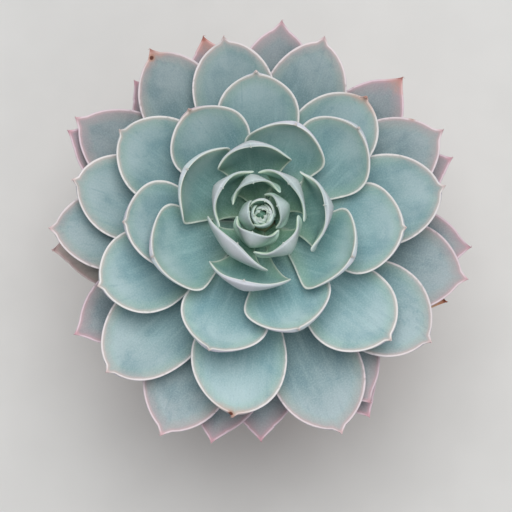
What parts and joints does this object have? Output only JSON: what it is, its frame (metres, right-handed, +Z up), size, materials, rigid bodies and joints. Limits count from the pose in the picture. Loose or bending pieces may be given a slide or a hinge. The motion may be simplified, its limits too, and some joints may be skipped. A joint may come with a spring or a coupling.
{
  "type": "potted echeveria",
  "caption": "Rosette succulent with cupped, waxy blue-green leaves on a short stem, growing in gritty soil in a plain tapered clay pot with a banded rim.",
  "frame": {"origin": "middle of the pot's foot, on the surface that the pot stands on", "axes": "+Z up along the stem; -Y is the side that the picture's camera leans towards"},
  "size_m": [0.1822, 0.184, 0.166],
  "materials": {
    "clay": "matte",
    "grit": "matte",
    "stem_skin": "matte",
    "bud_skin": "matte",
    "leaf_heart": "matte",
    "leaf_middle": "matte",
    "leaf_outer": "matte"
  },
  "bodies": {
    "root": {"pot": "clay", "soil": "grit", "stem": "stem_skin", "bud": "bud_skin", "leaf_01": "leaf_heart", "leaf_02": "leaf_heart", "leaf_03": "leaf_heart", "leaf_04": "leaf_heart", "leaf_05": "leaf_heart", "leaf_06": "leaf_heart", "leaf_07": "leaf_heart", "leaf_08": "leaf_heart", "leaf_09": "leaf_heart", "leaf_10": "leaf_heart", "leaf_11": "leaf_heart", "leaf_12": "leaf_heart", "leaf_13": "leaf_heart", "leaf_14": "leaf_middle", "leaf_15": "leaf_middle", "leaf_16": "leaf_middle", "leaf_17": "leaf_middle", "leaf_18": "leaf_middle", "leaf_19": "leaf_middle", "leaf_20": "leaf_middle", "leaf_21": "leaf_middle", "leaf_22": "leaf_middle", "leaf_23": "leaf_middle", "leaf_24": "leaf_middle", "leaf_25": "leaf_middle", "leaf_26": "leaf_middle", "leaf_27": "leaf_middle", "leaf_28": "leaf_middle", "leaf_29": "leaf_middle", "leaf_30": "leaf_middle", "leaf_31": "leaf_middle", "leaf_32": "leaf_middle", "leaf_33": "leaf_middle", "leaf_34": "leaf_middle", "leaf_35": "leaf_middle", "leaf_36": "leaf_middle", "leaf_37": "leaf_outer", "leaf_38": "leaf_outer", "leaf_39": "leaf_outer", "leaf_40": "leaf_outer", "leaf_41": "leaf_outer", "leaf_42": "leaf_outer", "leaf_43": "leaf_outer", "leaf_44": "leaf_outer", "leaf_45": "leaf_outer", "leaf_46": "leaf_outer", "leaf_47": "leaf_outer", "leaf_48": "leaf_outer", "leaf_49": "leaf_outer", "leaf_50": "leaf_outer", "leaf_51": "leaf_outer", "leaf_52": "leaf_outer", "leaf_53": "leaf_outer", "leaf_54": "leaf_outer"}
  },
  "joints": []
}
